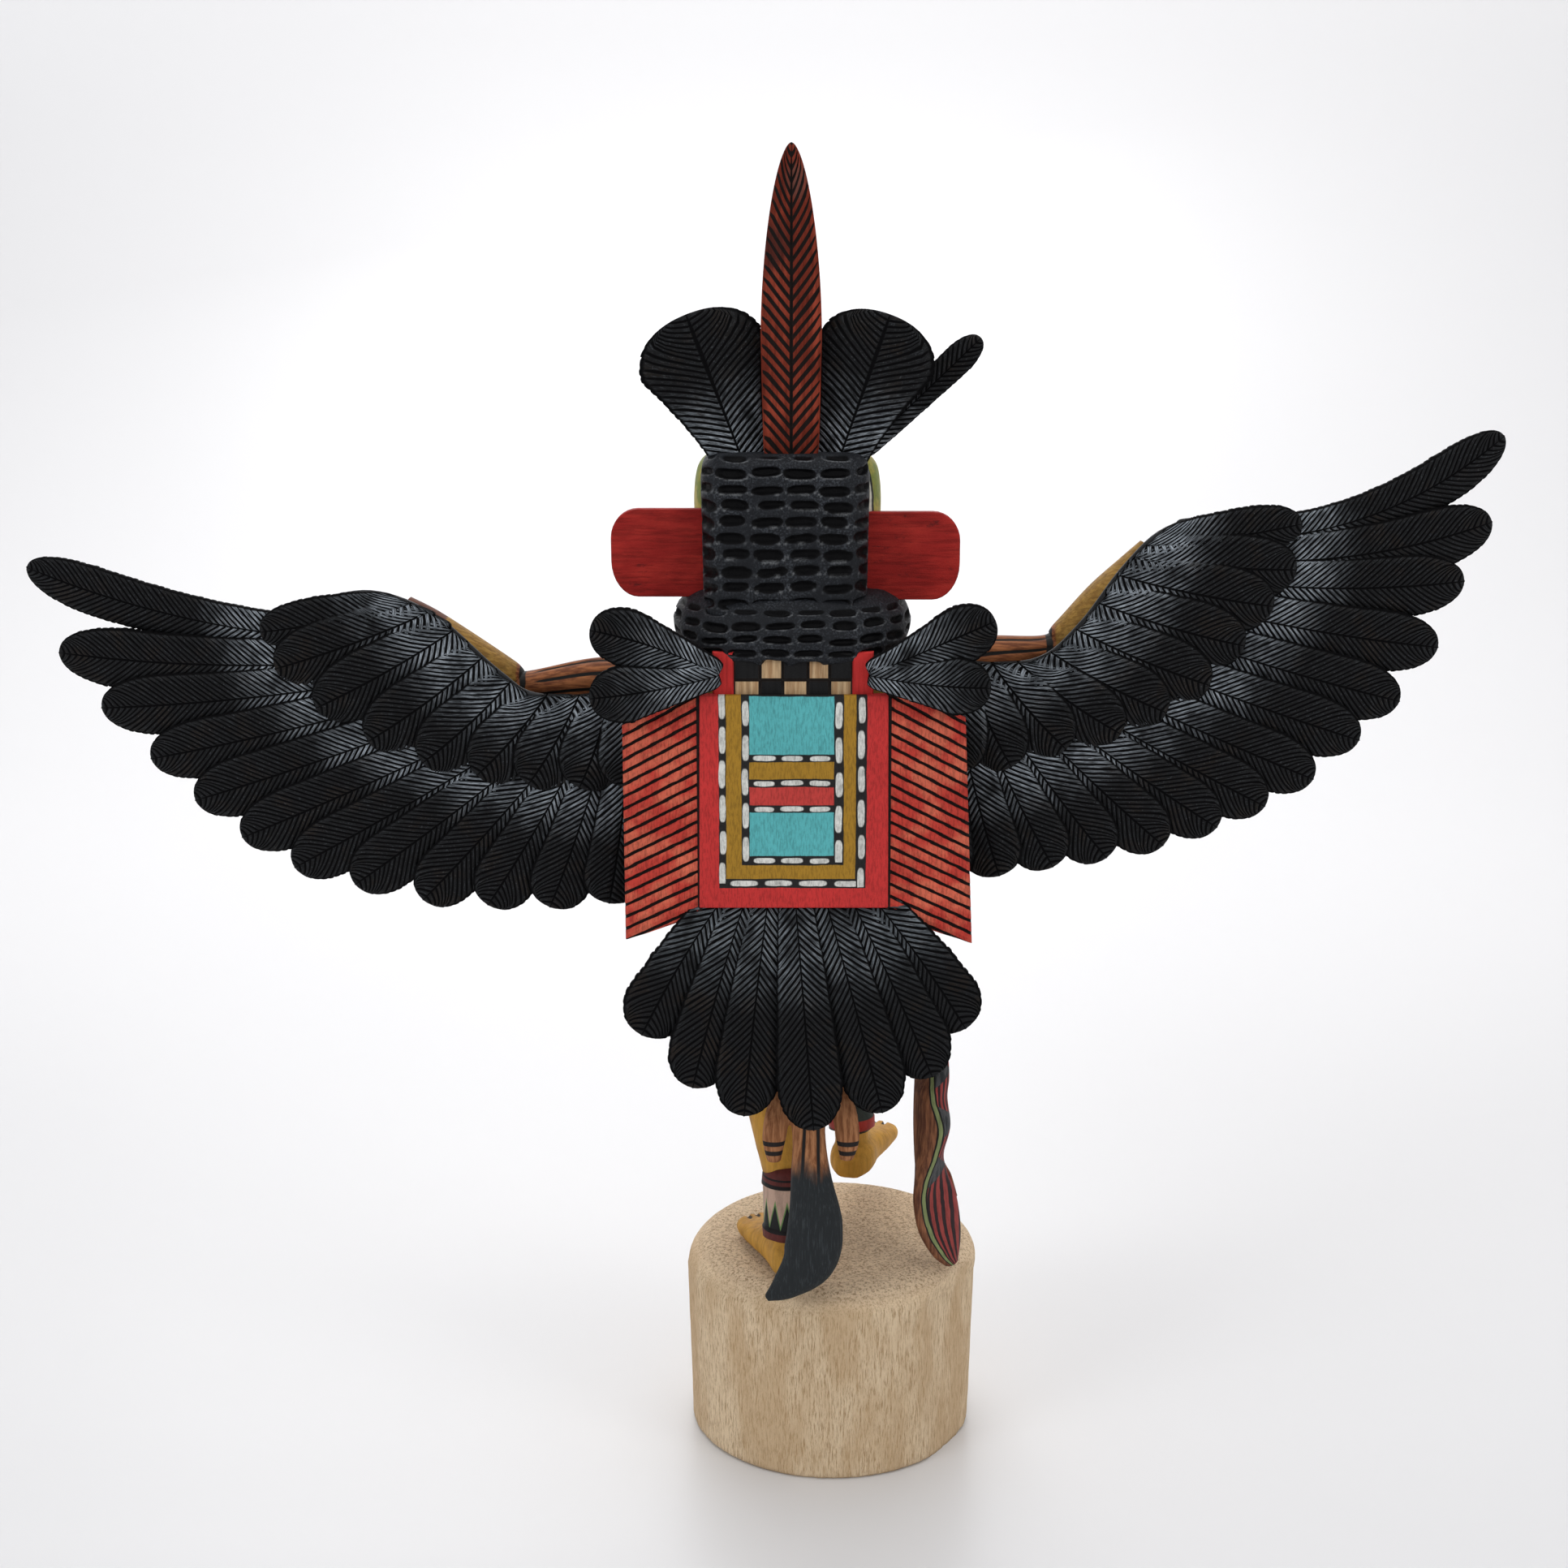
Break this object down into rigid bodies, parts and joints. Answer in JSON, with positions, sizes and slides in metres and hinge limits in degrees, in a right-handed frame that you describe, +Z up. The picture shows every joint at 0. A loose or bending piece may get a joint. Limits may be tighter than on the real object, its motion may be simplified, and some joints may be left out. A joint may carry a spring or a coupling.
{
  "type": "kachina doll",
  "caption": "Carved and painted wooden eagle dancer figure with spread feathered wings, tail fan and painted back tablet, standing on a round wooden base.",
  "frame": {"origin": "centre of the base's underside", "axes": "+Z up, the doll faces -Y, and its own left wing points along +X"},
  "size_m": [0.4889, 0.1184, 0.4473],
  "materials": {
    "bare_wood": "raw sawn cottonwood",
    "ochre_paint": "matte paint on wood",
    "black_paint": "matte paint on carved wood",
    "red_paint": "matte paint on wood",
    "brown_paint": "matte paint on wood"
  },
  "bodies": {
    "root": {"base": "bare_wood", "figure": "ochre_paint", "arm_left": "ochre_paint", "arm_right": "ochre_paint", "wing_left": "black_paint", "wing_right": "black_paint", "tail_fan": "black_paint", "fox_pelt": "brown_paint", "sash": "brown_paint", "back_tablet": "red_paint", "fringe_left": "red_paint", "fringe_right": "red_paint", "ear_left": "red_paint", "ear_right": "red_paint", "crest_feather_red": "red_paint", "crest_feather_left": "black_paint", "crest_feather_right": "black_paint", "crest_feather_front": "black_paint", "shoulder_feathers_left": "black_paint", "shoulder_feathers_right": "black_paint"}
  },
  "joints": []
}
